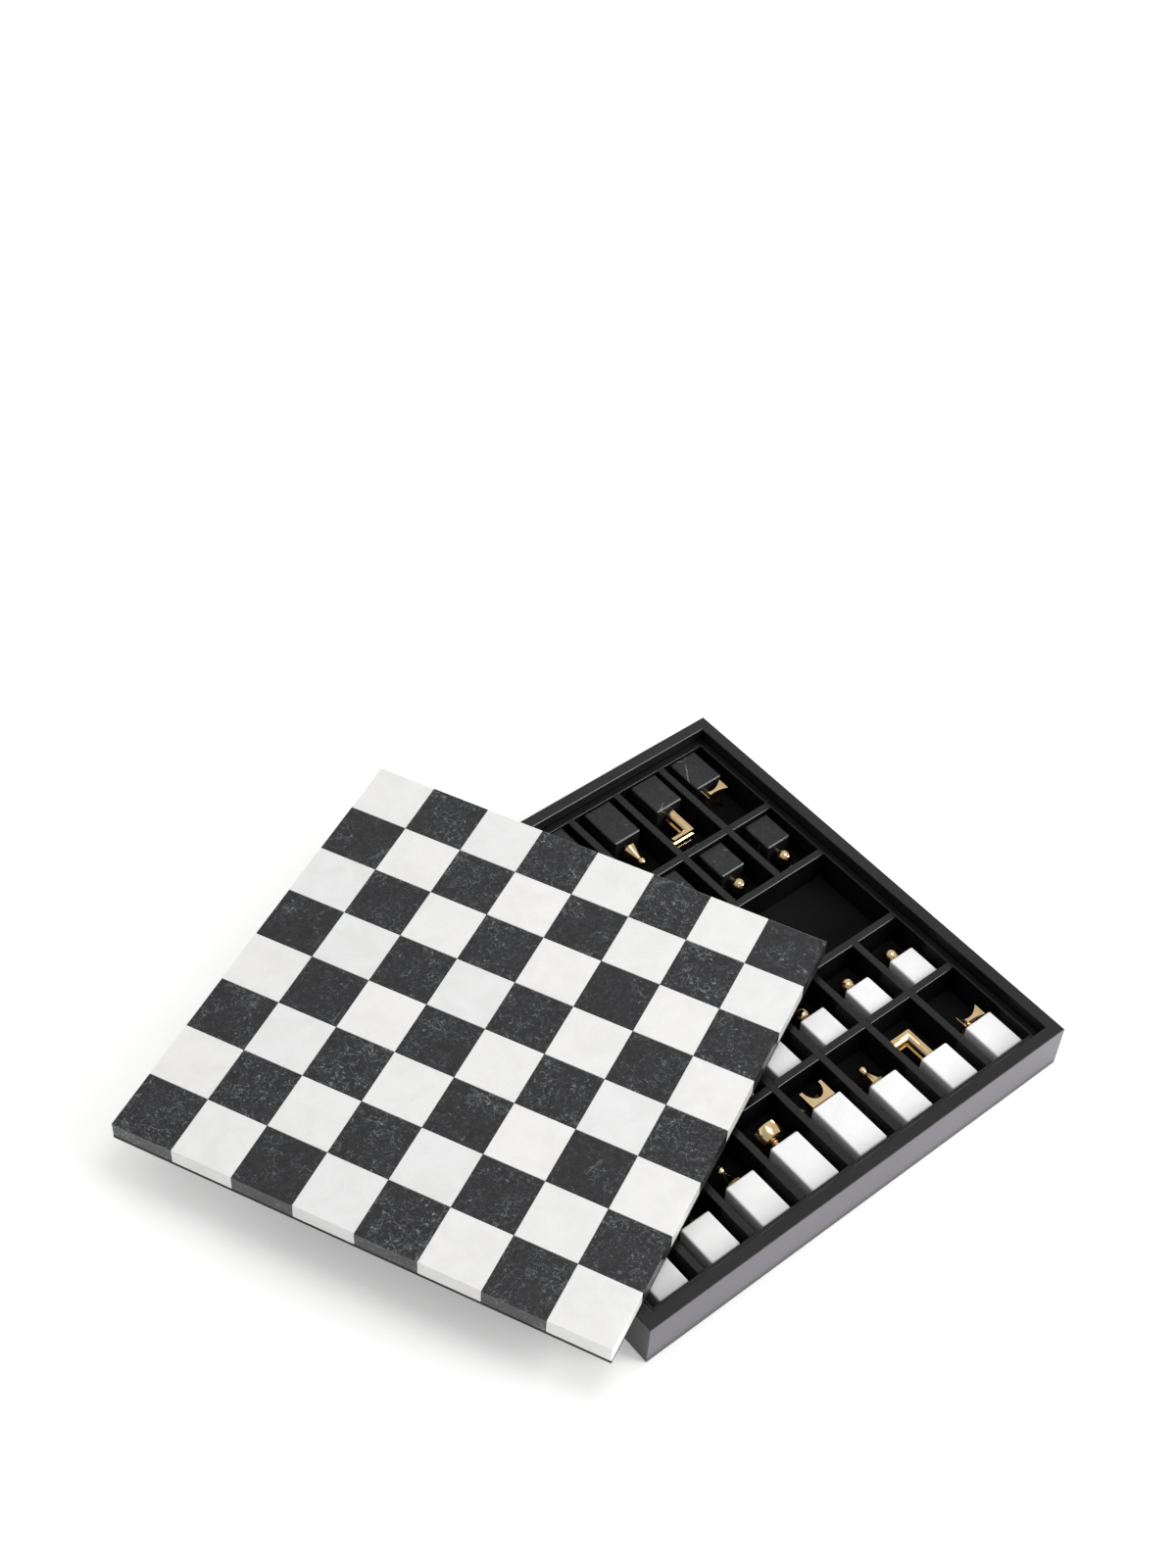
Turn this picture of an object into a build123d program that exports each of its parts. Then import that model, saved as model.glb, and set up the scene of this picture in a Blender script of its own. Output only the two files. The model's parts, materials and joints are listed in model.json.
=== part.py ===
from build123d import *
import math
import os

os.makedirs("parts", exist_ok=True)

# Box carcass
box_side = 420.0
box_height = 43.0
frame_wall = 10.5
frame_arris = 0.5
base_thickness = 3.0
base_rebate = 5.0
base_clearance = 0.2
lining_thickness = 1.0
lining_clearance = 0.3

# Recess that takes the board, and the liner frame whose top is its ledge
recess_depth = 10.5
liner_wall = 7.0
liner_round = 0.8
liner_groove = 0.6
liner_mitre_gap = 0.1

# Divider lattice, half lapped
divider_thickness = 6.5
rank_row = 82.5
pawn_row = 58.0
column_count = 8
housing_depth = 1.5
lap_clearance = 0.05
end_clearance = 0.1
divider_arris = 0.4

# Board of stone tiles on a thin backing, lying across the box
tile_pitch = 49.5
tile_joint = 0.1
tile_count = 8
tile_thickness = 14.0
tile_arris = 0.4
backing_thickness = 3.0
board_yaw = -65.0
board_x = -151.0
board_y = 51.0

# Pieces: a square stone block with a turned or cut brass topper
officer_section = 27.0
king_section = 28.0
pawn_section = 24.5
pawn_length = 30.0
rook_length = 35.0
knight_length = 35.0
bishop_length = 41.0
queen_length = 46.0
king_length = 52.0
base_gap = 0.4
white_round = 1.6
black_arris = 0.9
post_radius = 2.5
post_depth = 4.0
post_clearance = 0.05
neck_height = 1.6

# Rook: square bar, hollow on its sides and notched both ways at both ends
rook_width = 21.4
rook_height = 10.7
rook_top_notch = 4.6
rook_foot_notch = 3.6
rook_hollow = 3.0
rook_land = 0.5

# Knight: moulded bar mitred into an arm over the shoulder
knight_height = 27.0
knight_reach = 19.0
bar_outer = 2.5
bar_inner = 5.2
bar_depth = 16.5
bar_lip_width = 1.2
bar_lip_height = 2.6
bar_step = 0.5
bar_cove = 1.2
bar_cove_height = 2.6
bar_roll = 1.6
bar_rib = 1.0
bar_rib_height = 1.6

# Bishop: tapering bulb with a small ball
bulb_radius = 8.0
bulb_shoulder = 2.4
bulb_height = 14.3
bulb_waist = 2.6
bishop_ball = 4.1

# Queen: beaded stem and a round bowl, recessed at the end
queen_stem = 8.0
queen_bead = 3.6
cup_foot = 11.0
cup_rim = 13.2
cup_height = 10.8
cup_lip = 1.0
cup_recess = 4.0
cup_floor = 9.0

# King: square crown with round notches both ways
crown_width = 22.3
crown_height = 15.4
crown_prong = 2.7
crown_base = 4.0

# Pawn: ball
pawn_ball = 7.0

# Pieces that lie to one side of the middle of their compartment
sideways_lie = {"black_bishop_f": 2.8, "black_knight_g": 4.5, "black_pawn_g": 1.4, "black_pawn_h": 3.5}

# Derived levels and places, from the underside of the box
lining_top = base_thickness + lining_thickness
ledge_level = box_height - recess_depth
recess_side = box_side - 2 * frame_wall
well_side = recess_side - 2 * liner_wall
divider_height = ledge_level - lining_top
column_pitch = (well_side + divider_thickness) / column_count
column_clear = column_pitch - divider_thickness
rank_rail_y = well_side / 2 - rank_row - divider_thickness / 2
pawn_rail_y = rank_rail_y - pawn_row - divider_thickness
board_side = tile_pitch * tile_count
divider_x = [(k - column_count / 2) * column_pitch for k in range(1, column_count)]
column_x = [(k + 0.5 - column_count / 2) * column_pitch for k in range(column_count)]


def export(part, name):
    part.label = name
    export_step(part, f"parts/{name}.step")


# Four mitred frame sides, rebated below for the base panel
frame_sides = {"front": 0, "right": 90, "back": 180, "left": 270}
panel_seat = recess_side + 2 * base_rebate
for side_name, turn in frame_sides.items():
    outer = box_side / 2
    inner = recess_side / 2
    with BuildPart() as frame_side:
        with BuildSketch(Plane.XY.rotated((0, 0, turn))):
            Polygon(
                (-outer, -outer), (outer, -outer), (inner, -inner), (-inner, -inner),
                align=None,
            )
        extrude(amount=box_height)
        with BuildSketch(Plane.XY):
            Rectangle(panel_seat, panel_seat)
        extrude(amount=base_thickness, mode=Mode.SUBTRACT)
        rim_edges = frame_side.edges().group_by(Axis.Z)[-1].sort_by(SortBy.LENGTH)
        chamfer([rim_edges[-1], rim_edges[-2]], length=frame_arris)
    export(frame_side.part, f"frame_side_{side_name}")

# Base panel in the rebate
with BuildPart() as base_panel:
    with BuildSketch(Plane.XY):
        Rectangle(panel_seat - 2 * base_clearance, panel_seat - 2 * base_clearance)
    extrude(amount=base_thickness)
export(base_panel.part, "base_panel")

# Felt lining over the whole floor
with BuildPart() as floor_lining:
    with BuildSketch(Plane.XY.offset(base_thickness)):
        Rectangle(recess_side - 2 * lining_clearance, recess_side - 2 * lining_clearance)
    extrude(amount=lining_thickness)
export(floor_lining.part, "floor_lining")

# Liner frame: four mitred strips whose tops carry the stored board
with BuildPart() as liner_frame:
    outer = recess_side / 2 - end_clearance
    inner = well_side / 2
    for turn in frame_sides.values():
        with BuildSketch(Plane.XY.offset(lining_top).rotated((0, 0, turn))):
            Polygon(
                (liner_mitre_gap - outer, -outer), (outer - liner_mitre_gap, -outer),
                (inner - liner_mitre_gap, -inner), (liner_mitre_gap - inner, -inner),
                align=None,
            )
        extrude(amount=divider_height)
    inner_edges = liner_frame.edges().group_by(Axis.Z)[-1].group_by(SortBy.LENGTH)[-2]
    fillet(inner_edges, radius=liner_round)
    outer_edges = liner_frame.edges().group_by(Axis.Z)[-1].group_by(SortBy.LENGTH)[-1]
    chamfer(outer_edges, length=liner_groove)
export(liner_frame.part, "liner_frame")

# Long rails along the rows, slotted from above and housed for the cross dividers
slot_width = divider_thickness + 2 * lap_clearance
lap_level = lining_top + divider_height / 2
rail_length = well_side - 2 * end_clearance
rail_face_y = pawn_rail_y + divider_thickness / 2
with BuildPart() as long_rails:
    with BuildSketch(Plane.XY.offset(lining_top)):
        with Locations(*[(0, side * y) for side in (-1, 1) for y in (rank_rail_y, pawn_rail_y)]):
            Rectangle(rail_length, divider_thickness)
    extrude(amount=divider_height)
    with BuildSketch(Plane.XY.offset(lap_level)):
        with Locations(*[(x, side * rank_rail_y) for side in (-1, 1) for x in divider_x]):
            Rectangle(slot_width, slot_width)
    extrude(amount=ledge_level - lap_level, mode=Mode.SUBTRACT)
    with BuildSketch(Plane.XY.offset(lining_top)):
        with Locations(*[(x, side * rail_face_y) for side in (-1, 1) for x in divider_x]):
            Rectangle(slot_width, 2 * housing_depth)
    extrude(amount=divider_height, mode=Mode.SUBTRACT)
    chamfer(long_rails.edges().group_by(Axis.Z)[-1].filter_by(Axis.X).group_by(SortBy.LENGTH)[1:],
            length=divider_arris)
export(long_rails.part, "long_rails")

# Cross dividers between the columns, slotted from below
divider_near = rail_face_y - housing_depth + lap_clearance
divider_far = well_side / 2 - end_clearance
divider_length = divider_far - divider_near
divider_mid = (divider_far + divider_near) / 2
with BuildPart() as cross_dividers:
    with BuildSketch(Plane.XY.offset(lining_top)):
        with Locations(*[(x, side * divider_mid) for side in (-1, 1) for x in divider_x]):
            Rectangle(divider_thickness, divider_length)
    extrude(amount=divider_height)
    with BuildSketch(Plane.XY.offset(lining_top)):
        with Locations(*[(x, side * rank_rail_y) for side in (-1, 1) for x in divider_x]):
            Rectangle(slot_width, slot_width)
    extrude(amount=lap_level - lining_top + lap_clearance, mode=Mode.SUBTRACT)
    chamfer(cross_dividers.edges().group_by(Axis.Z)[-1].filter_by(Axis.Y), length=divider_arris)
export(cross_dividers.part, "cross_dividers")

# Board: backing panel, then light and dark tiles in turn
board_plane = Plane((board_x, board_y, box_height), z_dir=(0, 0, 1)).rotated((0, 0, board_yaw))
with BuildPart() as board_backing:
    with BuildSketch(board_plane):
        Rectangle(board_side, board_side)
    extrude(amount=backing_thickness)
export(board_backing.part, "board_backing")

for tile_name, parity in {"light_tiles": 0, "dark_tiles": 1}.items():
    half = (tile_count - 1) / 2
    spots = [
        ((column - half) * tile_pitch, (half - row) * tile_pitch)
        for column in range(tile_count) for row in range(tile_count)
        if (column + row) % 2 == parity
    ]
    with BuildPart() as tiles:
        with BuildSketch(board_plane.offset(backing_thickness)):
            with Locations(*spots):
                Rectangle(tile_pitch - tile_joint, tile_pitch - tile_joint)
        extrude(amount=tile_thickness)
        chamfer(tiles.edges().group_by(Axis.Z)[-1], length=tile_arris)
    export(tiles.part, tile_name)


def side_view(seat):
    # Upright plane through a piece's axis, across the compartment
    return Plane(seat.origin, x_dir=seat.x_dir, z_dir=-seat.y_dir)


def front_view(seat):
    # Upright plane through a piece's axis, square to the side view
    return Plane(seat.origin, x_dir=seat.y_dir, z_dir=seat.x_dir)


def arch(half_width, mouth, crown):
    # Closed notch outline from a mouth level to a crown level on the axis
    rise = crown - mouth
    with BuildSketch(mode=Mode.PRIVATE) as notch:
        with BuildLine():
            ThreePointArc((-half_width, mouth), (0, crown), (half_width, mouth))
            Polyline((half_width, mouth), (half_width, mouth - rise), (-half_width, mouth - rise),
                     (-half_width, mouth))
        make_face()
    return notch.sketch


def rook_topper(seat):
    foot = neck_height
    top = foot + rook_height
    side = rook_width / 2
    web_middle = foot + (rook_height + rook_foot_notch - rook_top_notch) / 2
    with BuildPart() as topper:
        with BuildSketch(seat.offset(foot)):
            Rectangle(rook_width, rook_width)
            for turn in frame_sides.values():
                add(arch(side - rook_land, -side, rook_hollow - side), rotation=turn, mode=Mode.SUBTRACT)
        extrude(amount=rook_height)
        for view in (side_view(seat), front_view(seat)):
            with BuildSketch(view):
                add(arch(side - rook_land, top, top - rook_top_notch))
                add(arch(side - rook_land, foot, foot + rook_foot_notch))
            extrude(amount=rook_width, both=True, mode=Mode.SUBTRACT)
        with BuildSketch(seat.offset(-post_depth)):
            Circle(post_radius)
        extrude(amount=post_depth + web_middle)
    return topper.part


def knight_topper(seat):
    axis_top = neck_height + knight_height - bar_outer
    edge = bar_depth / 2
    lip_foot = edge - bar_lip_height
    cove_foot = lip_foot - bar_cove_height
    crest = edge - bar_step
    round_start = bar_outer - bar_lip_width
    inner_face = bar_inner - bar_rib
    round_radius = round_start + inner_face
    rib_top = bar_rib_height / 2
    spring = crest - round_radius
    diagonal = round_radius * math.sqrt(0.5)
    with BuildPart() as topper:
        with BuildLine(side_view(seat)) as path:
            Polyline((0, neck_height), (0, axis_top), (-knight_reach, axis_top))
        with BuildSketch(seat.offset(neck_height)):
            with BuildLine():
                for side in (-1, 1):
                    ThreePointArc((bar_outer, side * cove_foot),
                                  (bar_outer - bar_cove, side * (cove_foot + lip_foot) / 2),
                                  (bar_outer, side * lip_foot))
                    Polyline((bar_outer, side * lip_foot), (bar_outer, side * edge),
                             (round_start, side * edge), (round_start, side * crest))
                    ThreePointArc((round_start, side * crest),
                                  (round_start - diagonal, side * (spring + diagonal)),
                                  (-inner_face, side * spring))
                    Polyline((-inner_face, side * spring), (-inner_face, side * rib_top),
                             (-bar_inner, side * rib_top))
                ThreePointArc((bar_outer, -cove_foot), (bar_outer + bar_roll, 0), (bar_outer, cove_foot))
                Line((-bar_inner, -rib_top), (-bar_inner, rib_top))
            make_face()
        sweep(path=path.line, transition=Transition.RIGHT)
        with BuildSketch(seat.offset(-post_depth)):
            Circle(post_radius)
        extrude(amount=post_depth + neck_height)
    return topper.part


def bishop_topper(seat):
    shoulder_top = neck_height + bulb_shoulder
    waist = neck_height + bulb_height
    ball_rise = math.sqrt(bishop_ball**2 - bulb_waist**2)
    tip = waist + ball_rise + bishop_ball
    with BuildPart() as topper:
        with BuildSketch(side_view(seat)):
            with BuildLine():
                Polyline((0, tip), (0, -post_depth), (post_radius, -post_depth), (post_radius, neck_height))
                RadiusArc((post_radius, neck_height), (bulb_radius, shoulder_top), -bulb_radius)
                Line((bulb_radius, shoulder_top), (bulb_waist, waist))
                ThreePointArc((bulb_waist, waist), (bishop_ball, waist + ball_rise), (0, tip))
            make_face()
        revolve(axis=Axis(seat.origin, seat.z_dir))
    return topper.part


def queen_topper(seat):
    bead_foot = queen_stem - 2 * (queen_bead - post_radius)
    rim = queen_stem + cup_height
    cup_flare = cup_rim - cup_foot
    cup_radius = (cup_flare**2 + cup_height**2) / (2 * cup_flare)
    with BuildPart() as topper:
        with BuildSketch(side_view(seat)):
            with BuildLine():
                Polyline((0, rim - cup_recess), (0, -post_depth), (post_radius, -post_depth),
                         (post_radius, bead_foot))
                ThreePointArc((post_radius, bead_foot), (queen_bead, (bead_foot + queen_stem) / 2),
                              (post_radius, queen_stem))
                Line((post_radius, queen_stem), (cup_foot, queen_stem))
                RadiusArc((cup_foot, queen_stem), (cup_rim, rim), -cup_radius)
                Polyline((cup_rim, rim), (cup_rim - cup_lip, rim), (cup_floor, rim - cup_recess),
                         (0, rim - cup_recess))
            make_face()
        revolve(axis=Axis(seat.origin, seat.z_dir))
    return topper.part


def king_topper(seat):
    top = neck_height + crown_height
    notch_half = crown_width / 2 - crown_prong
    with BuildPart() as topper:
        with BuildSketch(seat.offset(neck_height)):
            Rectangle(crown_width, crown_width)
        extrude(amount=crown_height)
        for view in (side_view(seat), front_view(seat)):
            with BuildSketch(view):
                with Locations((0, top)):
                    Ellipse(notch_half, crown_height - crown_base)
            extrude(amount=crown_width, both=True, mode=Mode.SUBTRACT)
        with BuildSketch(seat.offset(-post_depth)):
            Circle(post_radius)
        extrude(amount=post_depth + neck_height)
    return topper.part


def ball_topper(seat):
    centre = neck_height + math.sqrt(pawn_ball**2 - post_radius**2)
    with BuildPart() as topper:
        with BuildSketch(side_view(seat)):
            with BuildLine():
                Polyline((0, centre + pawn_ball), (0, -post_depth), (post_radius, -post_depth),
                         (post_radius, neck_height))
                ThreePointArc((post_radius, neck_height), (pawn_ball, centre), (0, centre + pawn_ball))
            make_face()
        revolve(axis=Axis(seat.origin, seat.z_dir))
    return topper.part


def stone_block(base, section, length, colour):
    with BuildPart() as block:
        with BuildSketch(base):
            Rectangle(section, section)
        extrude(amount=length)
        if colour == "white":
            fillet(block.edges(), radius=white_round)
        else:
            chamfer(block.edges(), length=black_arris)
        with BuildSketch(base.offset(length)):
            Circle(post_radius + post_clearance)
        extrude(amount=-(post_depth + end_clearance), mode=Mode.SUBTRACT)
    return block.part


def base_plane(x, wall_y, section, colour):
    # Plane of a lying piece's base, facing the middle of the box
    side = -1 if colour == "white" else 1
    origin = (x, side * (wall_y - base_gap), lining_top + section / 2)
    return Plane(origin, x_dir=(1, 0, 0), z_dir=(0, -side, 0))


officers = {
    "rook": (officer_section, rook_length, rook_topper),
    "knight": (officer_section, knight_length, knight_topper),
    "bishop": (officer_section, bishop_length, bishop_topper),
    "queen": (officer_section, queen_length, queen_topper),
    "king": (king_section, king_length, king_topper),
}
back_rank = ["rook", "knight", "bishop", "queen", "king", "bishop", "knight", "rook"]
files = "abcdefgh"
pawn_wall_y = rank_rail_y - divider_thickness / 2

for colour in ("white", "black"):
    for file_name, x, kind in zip(files, column_x, back_rank):
        section, length, topper = officers[kind]
        name = f"{colour}_{kind}" if kind in ("queen", "king") else f"{colour}_{kind}_{file_name}"
        base = base_plane(x + sideways_lie.get(name, 0), well_side / 2, section, colour)
        export(stone_block(base, section, length, colour), f"{name}_block")
        export(topper(base.offset(length)), f"{name}_topper")
    for file_name, x in zip(files, column_x):
        name = f"{colour}_pawn_{file_name}"
        base = base_plane(x + sideways_lie.get(name, 0), pawn_wall_y, pawn_section, colour)
        block = stone_block(base, pawn_section, pawn_length, colour)
        ball = ball_topper(base.offset(pawn_length))
        export(Compound(children=[block, ball]), name)
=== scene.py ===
import json
import math

import bmesh
import bpy
from mathutils import Matrix, Vector


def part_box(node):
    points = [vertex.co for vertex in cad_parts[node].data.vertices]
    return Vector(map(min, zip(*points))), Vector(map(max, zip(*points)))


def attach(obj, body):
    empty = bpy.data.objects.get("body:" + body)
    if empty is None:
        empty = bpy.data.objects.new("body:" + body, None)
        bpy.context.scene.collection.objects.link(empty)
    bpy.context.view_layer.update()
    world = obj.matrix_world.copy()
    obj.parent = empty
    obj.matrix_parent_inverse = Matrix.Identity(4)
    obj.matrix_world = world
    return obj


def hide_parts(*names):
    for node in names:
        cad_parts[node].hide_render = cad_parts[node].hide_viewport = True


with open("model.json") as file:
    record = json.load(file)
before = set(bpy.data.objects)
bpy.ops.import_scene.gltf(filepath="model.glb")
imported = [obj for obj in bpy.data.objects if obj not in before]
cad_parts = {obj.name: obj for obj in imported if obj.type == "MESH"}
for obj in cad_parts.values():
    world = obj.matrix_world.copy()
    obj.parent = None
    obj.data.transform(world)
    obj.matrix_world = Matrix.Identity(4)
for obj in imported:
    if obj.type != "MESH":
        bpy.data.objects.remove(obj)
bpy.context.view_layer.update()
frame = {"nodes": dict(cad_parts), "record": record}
nodes = frame["nodes"]
bodies = frame["record"]["behaviour"]["bodies"]

mm = 0.001


def linkObject(name, data):
    made = bpy.data.objects.new(name, data)
    bpy.context.scene.collection.objects.link(made)
    return made


# the photographer's tripod: where the camera stood and how it was held
camera = {
    "place": (-0.78676, -0.73759, 1.41930),
    "turn": 42.493,        # degrees from the box's back towards its right
    "tilt": -46.996,       # below the horizon
    "roll": 4.049,
    "lens": 51.76,
    "sensorHeight": 36.0,  # stands for the photograph's 1600 rows
}


def placeCamera(look):
    data = bpy.data.cameras.new("studioCamera")
    data.sensor_fit = "VERTICAL"
    data.sensor_height = look["sensorHeight"]
    data.lens = look["lens"]
    tripod = linkObject("studioCamera", data)
    tripod.matrix_world = (
        Matrix.Translation(look["place"])
        @ Matrix.Rotation(math.radians(-look["turn"]), 4, "Z")
        @ Matrix.Rotation(math.radians(90 + look["tilt"]), 4, "X")
        @ Matrix.Rotation(math.radians(look["roll"]), 4, "Z")
    )
    bpy.context.scene.camera = tripod
    # plain tones, so white paper stays white
    bpy.context.scene.view_settings.view_transform = "Standard"


placeCamera(camera)
print("camera placed")


def hexToLinear(code):
    channels = [int(code[i:i + 2], 16) / 255 for i in (1, 3, 5)]
    linear = [c / 12.92 if c <= 0.04045 else ((c + 0.055) / 1.055) ** 2.4 for c in channels]
    return (*linear, 1.0)


def setRamp(ramp, stops):
    while len(ramp.elements) < len(stops):
        ramp.elements.new(0.5)
    for element, (position, code) in zip(ramp.elements, stops):
        element.position = position
        element.color = hexToLinear(code)


# settings holds sockets to link, attributes to set and constants for the node's own sockets
def addNode(tree, kind, settings=None):
    node = tree.nodes.new(kind)
    for name, value in (settings or {}).items():
        if isinstance(value, bpy.types.NodeSocket):
            tree.links.new(value, node.inputs[name])
        elif name == "ramp":
            setRamp(node.color_ramp, value)
        elif isinstance(name, str) and hasattr(node, name):
            setattr(node, name, value)
        else:
            node.inputs[name].default_value = value
    return node


def doMath(tree, operation, *values):
    settings = {"operation": operation, **dict(enumerate(values))}
    return addNode(tree, "ShaderNodeMath", settings).outputs["Value"]


def doVectorMath(tree, operation, values):
    settings = {"operation": operation, **values}
    return addNode(tree, "ShaderNodeVectorMath", settings).outputs["Vector"]


def drawNoise(tree, coords, grain):
    settings = {"Vector": coords, "Scale": 1 / grain["size"], "Detail": grain["detail"],
                "Roughness": grain.get("roughness", 0.5),
                "Distortion": grain.get("distortion", 0.0)}
    return addNode(tree, "ShaderNodeTexNoise", settings).outputs


def drawCells(tree, coords, size, feature="F1"):
    settings = {"feature": feature, "Vector": coords, "Scale": 1 / size}
    return addNode(tree, "ShaderNodeTexVoronoi", settings).outputs


def toColour(tree, factor, stops):
    return addNode(tree, "ShaderNodeValToRGB", {"ramp": stops, "Fac": factor}).outputs["Color"]


def toRange(tree, value, target, source=(0.0, 1.0)):
    settings = {"Value": value, "From Min": source[0], "From Max": source[1],
                "To Min": target[0], "To Max": target[1]}
    return addNode(tree, "ShaderNodeMapRange", settings).outputs["Result"]


def toBump(tree, height, relief):
    settings = {"Height": height, "Strength": relief["strength"], "Distance": relief["depth"]}
    return addNode(tree, "ShaderNodeBump", settings).outputs["Normal"]


def mixColours(tree, factor, under, over, blend="MIX"):
    settings = {"data_type": "RGBA", "blend_type": blend, 0: factor, 6: under, 7: over}
    return addNode(tree, "ShaderNodeMix", settings).outputs[2]


def startMaterial(name):
    material = bpy.data.materials.new(name)
    material.use_nodes = True
    material.node_tree.nodes.clear()
    coords = addNode(material.node_tree, "ShaderNodeTexCoord").outputs["Object"]
    return material, material.node_tree, coords


def closeMaterial(material, surface):
    bsdf = addNode(material.node_tree, "ShaderNodeBsdfPrincipled", surface)
    addNode(material.node_tree, "ShaderNodeOutputMaterial", {"Surface": bsdf.outputs["BSDF"]})
    return material


# sprayed polyester lacquer, rubbed to a satin gloss: near black, with a clear soft reflection
lacquer = {
    "cloud": {"size": 60 * mm, "detail": 3.0},
    "tone": [(0.35, "#0a0a0b"), (0.7, "#131215")],
    "roughness": (0.24, 0.34),
    "peel": {"size": 5 * mm, "detail": 1.0},
    "relief": {"strength": 0.02, "depth": 0.2 * mm},
}


def makeLacquer(name, look):
    material, tree, coords = startMaterial(name)
    cloud = drawNoise(tree, coords, look["cloud"])["Fac"]
    peel = drawNoise(tree, coords, look["peel"])["Fac"]
    return closeMaterial(material, {
        "IOR": 1.5,
        "Base Color": toColour(tree, cloud, look["tone"]),
        "Roughness": toRange(tree, cloud, look["roughness"]),
        "Normal": toBump(tree, peel, look["relief"]),
    })


# fine leathergrain paper wrapped over board: as dark as the lacquer, and a little glossier
wrap = {
    "cloud": {"size": 25 * mm, "detail": 4.0},
    "tone": [(0.3, "#0a090a"), (0.75, "#131113")],
    "roughness": (0.22, 0.3),
    "grainSize": 1.2 * mm,
    "relief": {"strength": 0.1, "depth": 0.1 * mm},
}


def makeWrap(name, look):
    material, tree, coords = startMaterial(name)
    cloud = drawNoise(tree, coords, look["cloud"])["Fac"]
    grain = drawCells(tree, coords, look["grainSize"])["Distance"]
    return closeMaterial(material, {
        "IOR": 1.5,
        "Base Color": toColour(tree, cloud, look["tone"]),
        "Roughness": toRange(tree, cloud, look["roughness"]),
        "Normal": toBump(tree, grain, look["relief"]),
    })


# short flocked felt: drinks the light, with a faint nap where the pile leans
felt = {
    "nap": {"size": 34 * mm, "detail": 2.0},
    # real fibres are finer, these are drawn coarse enough to show
    "fibre": {"size": 0.9 * mm, "detail": 4.0, "distortion": 1.5},
    "tone": [(0.15, "#040304"), (0.4, "#0c0b0c")],
    "roughness": 0.95,
    "sheen": 0.12,
    "sheenRoughness": 0.5,
    "specular": 0.2,
    "relief": {"strength": 0.5, "depth": 0.3 * mm},
}


def makeFelt(name, look):
    material, tree, coords = startMaterial(name)
    nap = drawNoise(tree, coords, look["nap"])["Fac"]
    fibre = drawNoise(tree, coords, look["fibre"])["Fac"]
    return closeMaterial(material, {
        "Base Color": toColour(tree, doMath(tree, "MULTIPLY", nap, fibre), look["tone"]),
        "Roughness": look["roughness"],
        "Sheen Weight": look["sheen"],
        "Sheen Roughness": look["sheenRoughness"],
        "Specular IOR Level": look["specular"],
        "Normal": toBump(tree, fibre, look["relief"]),
    })


# bonded fibre sheet under the tiles: a dull dark line at the board's edge
backing = {
    "fibre": {"size": 1.5 * mm, "detail": 5.0},
    "tone": [(0.3, "#101010"), (0.7, "#1f1d1c")],
    "roughness": 0.8,
    "relief": {"strength": 0.4, "depth": 0.2 * mm},
}


def makeBacking(name, look):
    material, tree, coords = startMaterial(name)
    fibre = drawNoise(tree, coords, look["fibre"])["Fac"]
    return closeMaterial(material, {
        "Base Color": toColour(tree, fibre, look["tone"]),
        "Roughness": look["roughness"],
        "Normal": toBump(tree, fibre, look["relief"]),
    })


# turned and polished brass: pale gold, mirror bright with a trace of haze
brass = {
    "haze": {"size": 6 * mm, "detail": 4.0},
    "tone": [(0.3, "#f3ce9c"), (0.62, "#fbdfae")],
    "roughness": (0.07, 0.15),
}


def makeBrass(name, look):
    material, tree, coords = startMaterial(name)
    haze = drawNoise(tree, coords, look["haze"])["Fac"]
    return closeMaterial(material, {
        "Metallic": 1.0,
        "Base Color": toColour(tree, haze, look["tone"]),
        "Roughness": toRange(tree, haze, look["roughness"]),
    })


# each tile carries its own tone from 0 to 1 and is cut from another place in the stone
def cutPerTile(tree, coords, jump):
    tileTone = addNode(tree, "ShaderNodeAttribute", {"attribute_name": "tileTone"}).outputs["Fac"]
    shift = doVectorMath(tree, "SCALE", {0: jump, "Scale": tileTone})
    return tileTone, doVectorMath(tree, "ADD", {0: coords, 1: shift})


# white marble: fine sugary crystal with barely warm clouds; honed on the pieces and rubbed to
# satin on the board, so that it glows softly and mirrors nothing
whiteMarble = {
    "cloud": {"size": 22 * mm, "detail": 5.0, "distortion": 0.8},
    "crystalSize": 1.4 * mm,
    "sparkle": (0.97, 1.0),
    "subsurface": 0.12,
    "subsurfaceRadius": (4 * mm, 3.5 * mm, 3 * mm),
    "relief": {"strength": 0.04, "depth": 0.1 * mm},
    "jump": (3.1, 5.7, 2.3),
    "tileTint": [(0.0, "#fffefd"), (1.0, "#f9f9fa")],
    "finishes": {
        "honedWhiteMarble": {
            "tone": [(0.32, "#f6f6f5"), (0.6, "#fcfcfc")], "roughness": (0.38, 0.5),
        },
        "satinWhiteMarble": {
            "tone": [(0.32, "#eeeeec"), (0.6, "#f4f4f3")], "roughness": (0.3, 0.38),
        },
    },
}


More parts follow.
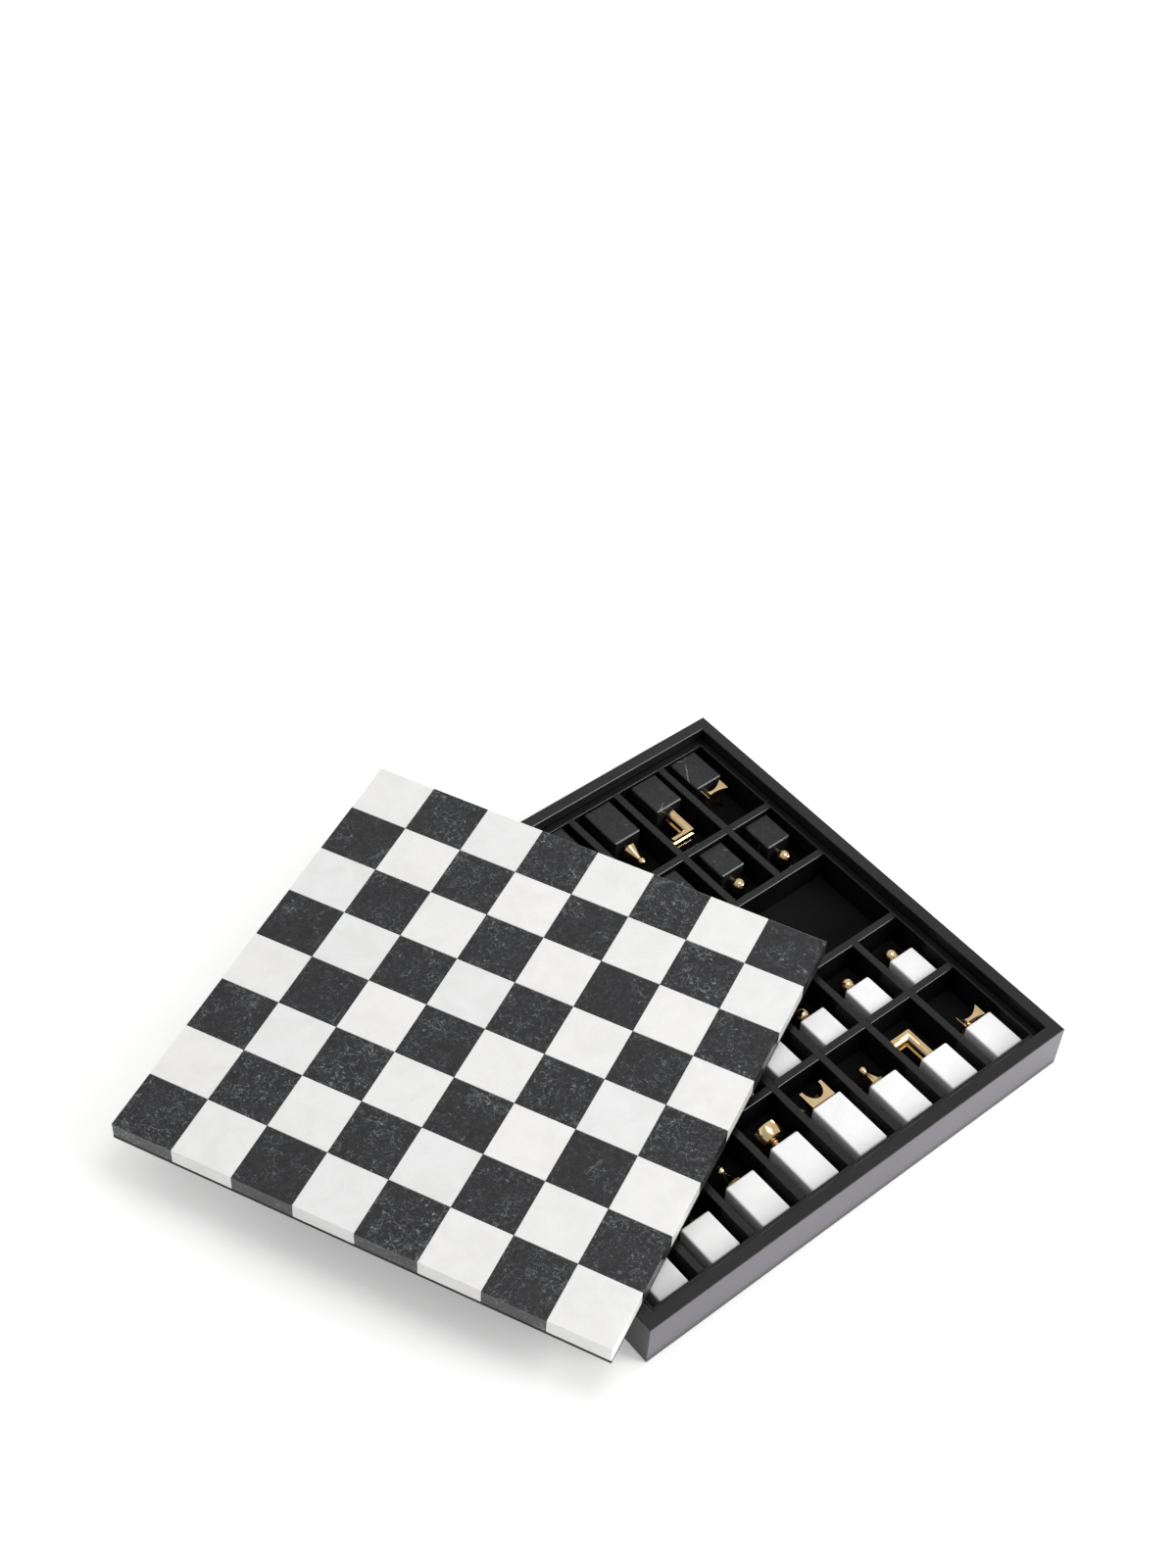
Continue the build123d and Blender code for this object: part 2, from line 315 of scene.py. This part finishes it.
def makeWhiteMarble(name, look, perTile):
    finish = look["finishes"][name]
    material, tree, coords = startMaterial(name)
    if perTile:
        tileTone, coords = cutPerTile(tree, coords, look["jump"])
    cloud = drawNoise(tree, coords, look["cloud"])["Fac"]
    crystal = drawCells(tree, coords, look["crystalSize"])
    tone = toColour(tree, cloud, finish["tone"])
    sparkle = toRange(tree, crystal["Color"], look["sparkle"])
    colour = mixColours(tree, 1.0, tone, sparkle, "MULTIPLY")
    if perTile:
        tint = toColour(tree, tileTone, look["tileTint"])
        colour = mixColours(tree, 1.0, colour, tint, "MULTIPLY")
    return closeMaterial(material, {
        "Subsurface Weight": look["subsurface"],
        "Subsurface Radius": look["subsurfaceRadius"],
        "Subsurface Scale": 1.0,
        "Base Color": colour,
        "Roughness": toRange(tree, cloud, finish["roughness"]),
        "Normal": toBump(tree, crystal["Distance"], look["relief"]),
    })


# black marble rubbed to satin: charcoal ground and hairline veins, on the board with drifts of
# pale crystal specks
blackMarble = {
    "mottle": {"size": 4 * mm, "detail": 5.0},
    "tone": [(0.35, "#131315"), (0.7, "#242427")],
    "warp": {"size": 3 * mm, "detail": 2.0},
    "warpReach": 2.4 * mm,
    "jump": (4.3, 2.9, 6.1),
    "fullness": 0.5,                 # of crystal, where no tile has its own
    "fullnessSway": 0.16,
    "drift": {"size": 20 * mm, "detail": 3.0},
    "driftSpan": (0.46, 0.72),
    "driftLevels": (0.18, 1.0),
    "speckSizes": (1.5 * mm, 3.4 * mm),
    "speck": {"detail": 3.0, "roughness": 0.6, "distortion": 0.8},
    "speckSpan": (0.6, 0.74),
    "speckColour": "#a4a8ab",
    "web": {"size": 10 * mm, "detail": 4.0, "distortion": 0.7},
    "webMiddle": 0.5,
    "webReach": 0.016,
    "veinCell": 38 * mm,
    "veinReach": 0.012,
    "veinPatches": (0.52, 0.62),
    "veinColour": "#b9bbbc",
    "relief": {"strength": 0.03, "depth": 0.1 * mm},
    "finishes": {
        "satinBlackMarble": {
            "roughness": (0.26, 0.34), "speck": 0.1, "web": 0.06, "vein": 0.6,
        },
        "speckledBlackMarble": {
            "roughness": (0.28, 0.36), "speck": 0.75, "web": 0.3, "vein": 0.16,
        },
    },
}


def makeBlackMarble(name, look, perTile):
    finish = look["finishes"][name]
    material, tree, coords = startMaterial(name)
    fullness = look["fullness"]
    if perTile:
        fullness, coords = cutPerTile(tree, coords, look["jump"])
    warp = drawNoise(tree, coords, look["warp"])["Color"]
    centred = doVectorMath(tree, "SUBTRACT", {0: warp, 1: (0.5, 0.5, 0.5)})
    pushed = doVectorMath(tree, "SCALE", {0: centred, "Scale": look["warpReach"]})
    bent = doVectorMath(tree, "ADD", {0: coords, 1: pushed})
    mottle = drawNoise(tree, coords, look["mottle"])["Fac"]
    colour = toColour(tree, mottle, look["tone"])

    # specks in two sizes and a fine web, all fullest where the stone drifts
    cloud = drawNoise(tree, coords, look["drift"])["Fac"]
    lean = doMath(tree, "MULTIPLY_ADD", fullness, look["fullnessSway"], cloud)
    drift = toRange(tree, lean, look["driftLevels"], look["driftSpan"])
    amounts = []
    for size in look["speckSizes"]:
        grit = drawNoise(tree, bent, {"size": size, **look["speck"]})["Fac"]
        amounts.append(toRange(tree, grit, (0.0, finish["speck"]), look["speckSpan"]))
    web = drawNoise(tree, bent, look["web"])["Fac"]
    distance = doMath(tree, "ABSOLUTE", doMath(tree, "SUBTRACT", web, look["webMiddle"]))
    amounts.append(toRange(tree, distance, (0.0, finish["web"]), (look["webReach"], 0.0)))
    for amount in amounts:
        kept = doMath(tree, "MULTIPLY", amount, drift)
        colour = mixColours(tree, kept, colour, hexToLinear(look["speckColour"]))

    # hairline veins, in patches
    seam = drawCells(tree, bent, look["veinCell"], "DISTANCE_TO_EDGE")["Distance"]
    hair = toRange(tree, seam, (0.0, finish["vein"]), (look["veinReach"], 0.0))
    patch = toRange(tree, cloud, (0.0, 1.0), look["veinPatches"])
    kept = doMath(tree, "MULTIPLY", hair, patch)
    colour = mixColours(tree, kept, colour, hexToLinear(look["veinColour"]))
    return closeMaterial(material, {
        "IOR": 1.5,
        "Base Color": colour,
        "Roughness": toRange(tree, mottle, finish["roughness"]),
        "Normal": toBump(tree, mottle, look["relief"]),
    })


stone = {
    "white": makeWhiteMarble("honedWhiteMarble", whiteMarble, False),
    "black": makeBlackMarble("satinBlackMarble", blackMarble, False),
}
tileStone = {
    "light_tiles": makeWhiteMarble("satinWhiteMarble", whiteMarble, True),
    "dark_tiles": makeBlackMarble("speckledBlackMarble", blackMarble, True),
}
lacqueredWood = makeLacquer("satinBlackLacquer", lacquer)
wrappedBoard = makeWrap("wrappedBoardPaper", wrap)
flockedFelt = makeFelt("flockedFelt", felt)
fibreBacking = makeBacking("fibreBacking", backing)
polishedBrass = makeBrass("polishedBrass", brass)
print("materials made")


def addPiece(name, mesh, body, material):
    piece = linkObject(name, mesh)
    mesh.materials.clear()
    mesh.materials.append(material)
    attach(piece, body)
    return piece


def closeForm(form, name):
    mesh = bpy.data.meshes.new(name)
    form.to_mesh(mesh)
    form.free()
    return mesh


# the host's mesh as its modifiers leave it
def finishedMesh(name, host):
    host.update_tag()
    bpy.context.view_layer.update()
    seen = bpy.context.evaluated_depsgraph_get()
    mesh = bpy.data.meshes.new_from_object(host.evaluated_get(seen))
    bpy.data.objects.remove(host)
    mesh.name = name
    return mesh


# carcass, liner, lattice and the board's backing keep their CAD shape and take their finish here
carcassFinish = {
    "frame_side": lacqueredWood, "base_panel": wrappedBoard, "liner_frame": wrappedBoard,
    "long_rails": wrappedBoard, "cross_dividers": wrappedBoard, "board_backing": fibreBacking,
}
for nodeName, node in nodes.items():
    for start, material in carcassFinish.items():
        if nodeName.startswith(start):
            for materialSlot in node.material_slots:
                materialSlot.material = material
print("carcass finished")


# felt laid over the whole floor, a little uneven under its own pile
floorFelt = {"cells": 90, "unevenness": 0.12 * mm, "waveSize": 28 * mm, "crossWaves": 1.3}


def makeFloorFelt(look):
    low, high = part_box("floor_lining")
    middle = (low + high) / 2
    form = bmesh.new()
    bmesh.ops.create_grid(form, x_segments=look["cells"], y_segments=look["cells"],
                          size=(high.x - low.x) / 2)
    for vertex in form.verts:
        along, across = vertex.co.x / look["waveSize"], vertex.co.y / look["waveSize"]
        wave = math.sin(along) * math.cos(across * look["crossWaves"])
        sink = look["unevenness"] * (0.5 + 0.5 * wave)
        vertex.co += Vector((middle.x, middle.y, high.z - sink))
    skirt = bmesh.ops.extrude_face_region(form, geom=list(form.faces))
    for item in skirt["geom"]:
        if isinstance(item, bmesh.types.BMVert):
            item.co.z = low.z
    bmesh.ops.recalc_face_normals(form, faces=form.faces)
    piece = addPiece("floorFelt", closeForm(form, "floorFelt"), "box", flockedFelt)
    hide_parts("floor_lining")


makeFloorFelt(floorFelt)
print("felt laid")


# board tiles: one slab with softened edges, set out by Geometry Nodes in two colours
tiles = {
    "count": 8,
    "joint": 0.1 * mm,
    "arris": 0.5 * mm,
    "arrisSteps": 2,
    "arrisFullness": 0.6,
    "lowest": 0.996,       # the thinnest tile, as a share of the full height
    "seed": 7,
    "sets": {
        "light_tiles": {"parity": 1, "slot": "white_marble"},
        "dark_tiles": {"parity": 0, "slot": "black_marble"},
    },
}


def boardPose():
    corners = [vertex.co for vertex in nodes["board_backing"].data.vertices]
    nearest = min(corners, key=lambda p: p.y)
    rightmost = max(corners, key=lambda p: p.x)
    edge = Vector((rightmost.x - nearest.x, rightmost.y - nearest.y, 0))
    low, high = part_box("board_backing")
    return (low + high) / 2, math.atan2(edge.y, edge.x) - math.pi / 2, edge.length


def makeSlab(name, side, height, look):
    form = bmesh.new()
    bmesh.ops.create_cube(form, size=1.0)
    for vertex in form.verts:
        x, y, z = vertex.co
        vertex.co = Vector((x * side, y * side, (z + 0.5) * height))
    upper = [edge for edge in form.edges if max(v.co.z for v in edge.verts) > height / 2]
    bmesh.ops.bevel(form, geom=upper, offset=look["arris"], segments=look["arrisSteps"],
                    profile=look["arrisFullness"], affect="EDGES")
    bmesh.ops.recalc_face_normals(form, faces=form.faces)
    return linkObject(name, closeForm(form, name))


def makeTileTree():
    tree = bpy.data.node_groups.new("tileSetting", "GeometryNodeTree")
    for label, direction, kind in (
            ("Geometry", "INPUT", "Geometry"), ("Slab", "INPUT", "Object"),
            ("Pitch", "INPUT", "Float"), ("Count", "INPUT", "Int"), ("Parity", "INPUT", "Int"),
            ("Lowest", "INPUT", "Float"), ("Centre", "INPUT", "Vector"), ("Yaw", "INPUT", "Float"),
            ("Seed", "INPUT", "Int"), ("Stone", "INPUT", "Material"),
            ("Geometry", "OUTPUT", "Geometry")):
        tree.interface.new_socket(label, in_out=direction, socket_type="NodeSocket" + kind)
    given = addNode(tree, "NodeGroupInput").outputs

    # one point per tile of this colour
    span = doMath(tree, "MULTIPLY", given["Pitch"], doMath(tree, "SUBTRACT", given["Count"], 1.0))
    grid = addNode(tree, "GeometryNodeMeshGrid", {
        "Size X": span, "Size Y": span, "Vertices X": given["Count"], "Vertices Y": given["Count"]})
    index = addNode(tree, "GeometryNodeInputIndex").outputs["Index"]
    column = doMath(tree, "FLOOR", doMath(tree, "DIVIDE", index, given["Count"]))
    row = doMath(tree, "MODULO", index, given["Count"])
    oddness = doMath(tree, "MODULO", doMath(tree, "ADD", column, row), 2.0)
    chosen = doMath(tree, "COMPARE", oddness, given["Parity"], 0.5)

    # a slab on each, some a hair thinner than others
    slab = addNode(tree, "GeometryNodeObjectInfo", {
        "transform_space": "ORIGINAL", "Object": given["Slab"]})
    thin = addNode(tree, "FunctionNodeRandomValue", {
        "data_type": "FLOAT", 2: given["Lowest"], 3: 1.0, "Seed": given["Seed"]})
    size = addNode(tree, "ShaderNodeCombineXYZ", {"X": 1.0, "Y": 1.0, "Z": thin.outputs[1]})
    placed = addNode(tree, "GeometryNodeInstanceOnPoints", {
        "Points": grid.outputs["Mesh"], "Selection": chosen,
        "Instance": slab.outputs["Geometry"], "Scale": size.outputs["Vector"]})
    tone = addNode(tree, "FunctionNodeRandomValue", {"data_type": "FLOAT", "Seed": given["Seed"]})
    marked = addNode(tree, "GeometryNodeStoreNamedAttribute", {
        "data_type": "FLOAT", "domain": "INSTANCE", "Name": "tileTone",
        "Geometry": placed.outputs["Instances"], "Value": tone.outputs[1]})

    # turned with the board and laid in its place
    turn = addNode(tree, "ShaderNodeCombineXYZ", {"Z": given["Yaw"]})
    turned = addNode(tree, "GeometryNodeTransform", {
        "Geometry": marked.outputs["Geometry"], "Translation": given["Centre"],
        "Rotation": turn.outputs["Vector"]})
    real = addNode(tree, "GeometryNodeRealizeInstances", {"Geometry": turned.outputs["Geometry"]})
    painted = addNode(tree, "GeometryNodeSetMaterial", {
        "Geometry": real.outputs["Geometry"], "Material": given["Stone"]})
    addNode(tree, "NodeGroupOutput", {"Geometry": painted.outputs["Geometry"]})
    return tree


def runTree(name, tree, values):
    host = linkObject(name + "Host", bpy.data.meshes.new(name + "Host"))
    modifier = host.modifiers.new(tree.name, "NODES")
    modifier.node_group = tree
    for item in tree.interface.items_tree:
        if item.in_out == "INPUT" and item.name in values:
            modifier[item.identifier] = values[item.name]
    return finishedMesh(name, host)


def makeTiles(look):
    centre, yaw, side = boardPose()
    pitch = side / look["count"]
    tree = makeTileTree()
    for nodeName, tileSet in look["sets"].items():
        low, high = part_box(nodeName)
        parity = tileSet["parity"]
        slab = makeSlab(nodeName + "Slab", pitch - look["joint"], high.z - low.z, look)
        mesh = runTree(nodeName + "Set", tree, {
            "Slab": slab, "Pitch": pitch, "Count": look["count"], "Parity": parity,
            "Lowest": look["lowest"], "Centre": (centre.x, centre.y, low.z), "Yaw": yaw,
            "Seed": look["seed"] + parity, "Stone": tileStone[nodeName],
        })
        bpy.data.objects.remove(slab)
        piece = addPiece(nodeName + "Set", mesh, "board", tileStone[nodeName])
        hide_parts(nodeName)
        print(nodeName, "set out:", len(mesh.polygons), "faces")


makeTiles(tiles)


# chess pieces: the CAD solids welded, stone and brass parted, their shading evened out
pieces = {
    "weld": 0.002 * mm,
    "crease": 30.0,        # degrees between two faces that still run on into each other
    "ballWidth": 20 * mm,  # a pawn's brass ball is narrower than this and its block is wider
}


def findShells(form):
    form.faces.index_update()
    seen = set()
    shells = []
    for first in form.faces:
        if first.index in seen:
            continue
        shell, frontier = {first.index}, [first]
        while frontier:
            for edge in frontier.pop().edges:
                for neighbour in edge.link_faces:
                    if neighbour.index not in shell:
                        shell.add(neighbour.index)
                        frontier.append(neighbour)
        seen |= shell
        shells.append(shell)
    return shells


def splitByShell(node, look):
    form = bmesh.new()
    form.from_mesh(node.data)
    bmesh.ops.remove_doubles(form, verts=form.verts, dist=look["weld"])
    meshes = []
    for number, shell in enumerate(findShells(form)):
        part = form.copy()
        unwanted = [face for face in part.faces if face.index not in shell]
        bmesh.ops.delete(part, geom=unwanted, context="FACES")
        for face in part.faces:
            face.smooth = True
        # arrises and rims stay crisp, turned and rounded faces run on
        for edge in part.edges:
            edge.smooth = edge.calc_face_angle(math.pi) < math.radians(look["crease"])
        mesh = closeForm(part, node.name + str(number))
        if "custom_normal" in mesh.attributes:
            mesh.attributes.remove(mesh.attributes["custom_normal"])
        meshes.append(mesh)
    form.free()
    return meshes


def evenShading(name, mesh):
    host = linkObject(name + "Host", mesh)
    host.modifiers.new("evenShading", "WEIGHTED_NORMAL").keep_sharp = True
    return finishedMesh(name, host)


def dressPieces(look):
    for body, members in bodies.items():
        if body in ("box", "board"):
            continue
        colour = body.split("_")[0]
        for nodeName in members:
            for mesh in splitByShell(nodes[nodeName], look):
                width = max(v.co.x for v in mesh.vertices) - min(v.co.x for v in mesh.vertices)
                if nodeName.endswith("_topper") or width < look["ballWidth"]:
                    name, material, slot = nodeName + "_brass", polishedBrass, "brass"
                else:
                    name, material, slot = nodeName + "_stone", stone[colour], colour + "_marble"
                piece = addPiece(name, evenShading(name, mesh), body, material)
                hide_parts(nodeName)


dressPieces(pieces)
print("pieces dressed")


# studio: a lit white sweep in a soft room that brightens behind and darkens to the left, with
# boxes overhead, in front and low down for the metal's highlights
studio = {
    "floorSide": 14.0,
    "floorDrop": 0.1 * mm,
    "floorPaper": {"size": 25 * mm, "detail": 2.0},
    "floorTone": [(0.0, "#f8f8f7"), (1.0, "#fbfbfa")],
    "floorRoughness": 0.9,
    "floorGlow": 0.3,
    "room": 0.57,
    "backdrop": 1.0,       # what the camera itself sees behind the sweep
    "stretches": {
        "behind": {"direction": (0.33, 0.63, 0.70), "span": (0.6, 0.92), "level": 1.12},
        "left": {"direction": (-0.90, -0.35, 0.25), "span": (0.2, 0.85), "level": 0.7},
    },
    "softboxes": {
        "overhead": {"place": (0.25, -0.25, 2.3), "size": (0.9, 0.9), "power": 9.0},
        "frontRight": {"place": (1.15, -1.80, 1.25), "size": (1.1, 1.1), "power": 32.0},
        "lowRight": {"place": (2.2, 1.2, 0.65), "size": (1.6, 0.8), "power": 15.0},
        "lowBack": {"place": (-0.5, 2.6, 0.9), "size": (1.4, 0.6), "power": 12.0},
        "lightTable": {"place": (0.12, -0.262, 0.0005), "size": (0.8, 0.1), "power": 0.17,
                       "colour": "#f3ecff", "faces": (0, 0, 1)},
    },
}


def makeSweep(look):
    half = look["floorSide"] / 2
    corners = [(x, y, -look["floorDrop"])
               for x, y in ((-half, -half), (half, -half), (half, half), (-half, half))]
    mesh = bpy.data.meshes.new("studioFloor")
    mesh.from_pydata(corners, [], [(0, 1, 2, 3)])
    material, tree, coords = startMaterial("litSweep")
    paper = drawNoise(tree, coords, look["floorPaper"])["Fac"]
    mesh.materials.append(closeMaterial(material, {
        "Base Color": toColour(tree, paper, look["floorTone"]),
        "Roughness": look["floorRoughness"],
        "Emission Color": hexToLinear("#ffffff"),
        "Emission Strength": look["floorGlow"],
    }))
    floor = linkObject("studioFloor", mesh)


def makeRoom(look):
    world = bpy.data.worlds.new("softRoom")
    bpy.context.scene.world = world
    world.use_nodes = True
    room = world.node_tree
    room.nodes.clear()
    direction = addNode(room, "ShaderNodeTexCoord").outputs["Generated"]
    strength = look["room"]
    for stretch in look["stretches"].values():
        facing = addNode(room, "ShaderNodeVectorMath", {
            "operation": "DOT_PRODUCT", 0: direction, 1: stretch["direction"]})
        change = addNode(room, "ShaderNodeMapRange", {
            "interpolation_type": "SMOOTHSTEP", "Value": facing.outputs["Value"],
            "From Min": stretch["span"][0], "From Max": stretch["span"][1],
            "To Min": 1.0, "To Max": stretch["level"]})
        strength = doMath(room, "MULTIPLY", strength, change.outputs["Result"])
    seenStraight = addNode(room, "ShaderNodeLightPath").outputs["Is Camera Ray"]
    shown = addNode(room, "ShaderNodeMix", {
        "Factor": seenStraight, "A": strength, "B": look["backdrop"]})
    shine = addNode(room, "ShaderNodeBackground", {
        "Color": hexToLinear("#ffffff"), "Strength": shown.outputs["Result"]})
    addNode(room, "ShaderNodeOutputWorld", {"Surface": shine.outputs["Background"]})


def hangSoftboxes(look):
    for name, box in look["softboxes"].items():
        light = bpy.data.lights.new(name, "AREA")
        light.shape = "RECTANGLE"
        light.size, light.size_y = box["size"]
        light.energy = box["power"]
        light.color = hexToLinear(box.get("colour", "#ffffff"))[:3]
        lamp = linkObject(name, light)
        lamp.visible_camera = False
        lamp.location = box["place"]
        facing = Vector(box.get("faces", -Vector(box["place"])))   # else towards the chess set
        lamp.rotation_euler = facing.to_track_quat("-Z", "Y").to_euler()


makeSweep(studio)
makeRoom(studio)
hangSoftboxes(studio)
print("studio lit")
